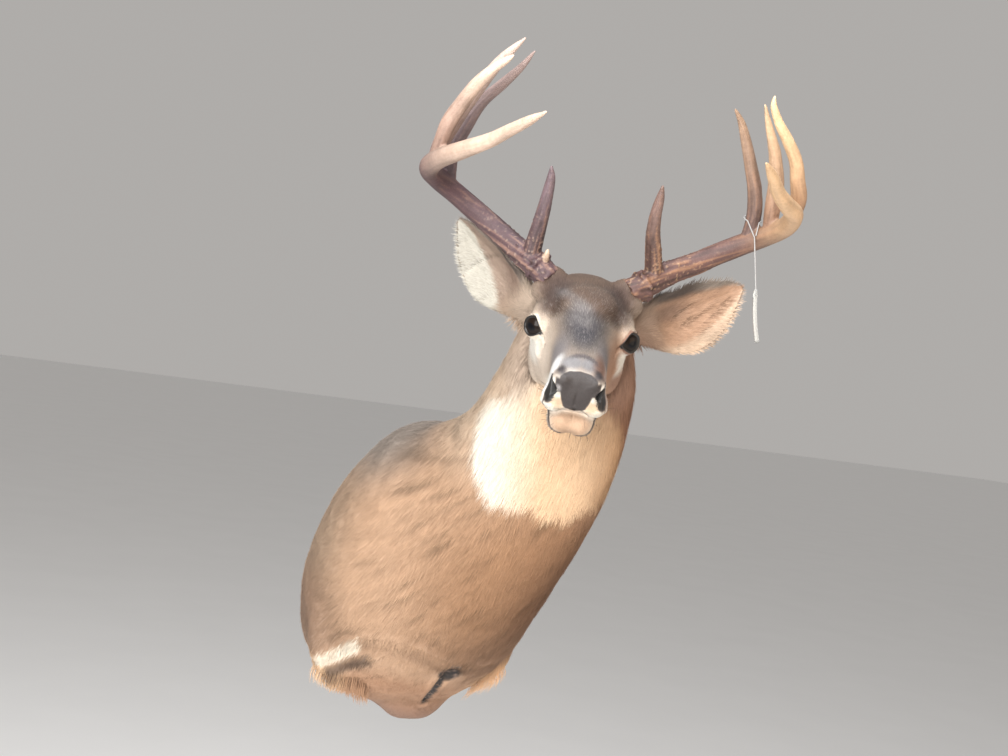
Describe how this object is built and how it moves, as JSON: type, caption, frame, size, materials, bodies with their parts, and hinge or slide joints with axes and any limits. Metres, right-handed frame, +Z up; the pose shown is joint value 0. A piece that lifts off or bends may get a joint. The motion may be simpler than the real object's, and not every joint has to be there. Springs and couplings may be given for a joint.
{
  "type": "deer shoulder mount",
  "caption": "Taxidermy whitetail buck's head, neck and shoulders for a wall, head turned to its right, with antlers, glass eyes, a wooden backboard and a blank string tag.",
  "frame": {"origin": "centre of the backboard's back face, on the wall", "axes": "+Y into the wall, so the mount stands out toward -Y; +Z up; +X toward the deer's left"},
  "size_m": [0.4431, 0.6241, 0.9062],
  "materials": {
    "coat_body": "deer hide with the hair on, buff and grey brown, cream throat",
    "coat_face": "short face hair, dark crown, pale muzzle and eye rings, black nose",
    "coat_ear": "thin hide with short tan hair, cream inside",
    "glass_eye": "dark brown glass, polished",
    "antler_brown": "antler bone, stained red brown, grooved and pearled",
    "antler_pale": "antler bone, cream to tan, smooth at the tips",
    "board_wood": "plain plywood",
    "string": "white cotton string",
    "tag_paper": "blank white tag paper"
  },
  "bodies": {
    "root": {"backboard": "board_wood", "beam_base_left": "antler_brown", "beam_base_right": "antler_brown", "beam_middle_left": "antler_brown", "beam_middle_right": "antler_brown", "beam_tip_left": "antler_pale", "beam_tip_right": "antler_pale", "brow_tine_left": "antler_brown", "brow_tine_right": "antler_brown", "ear_left": "coat_ear", "ear_right": "coat_ear", "eye_left": "glass_eye", "eye_right": "glass_eye", "foreleg_stub_left": "coat_body", "foreleg_stub_right": "coat_body", "head": "coat_face", "neck": "coat_body", "price_tag": "tag_paper", "tag_string": "string", "tine_2_left": "antler_pale", "tine_2_right": "antler_pale", "tine_3_left": "antler_pale", "tine_3_right": "antler_pale", "tine_4_left": "antler_pale", "tine_4_right": "antler_pale", "trunk": "coat_body"}
  },
  "joints": []
}
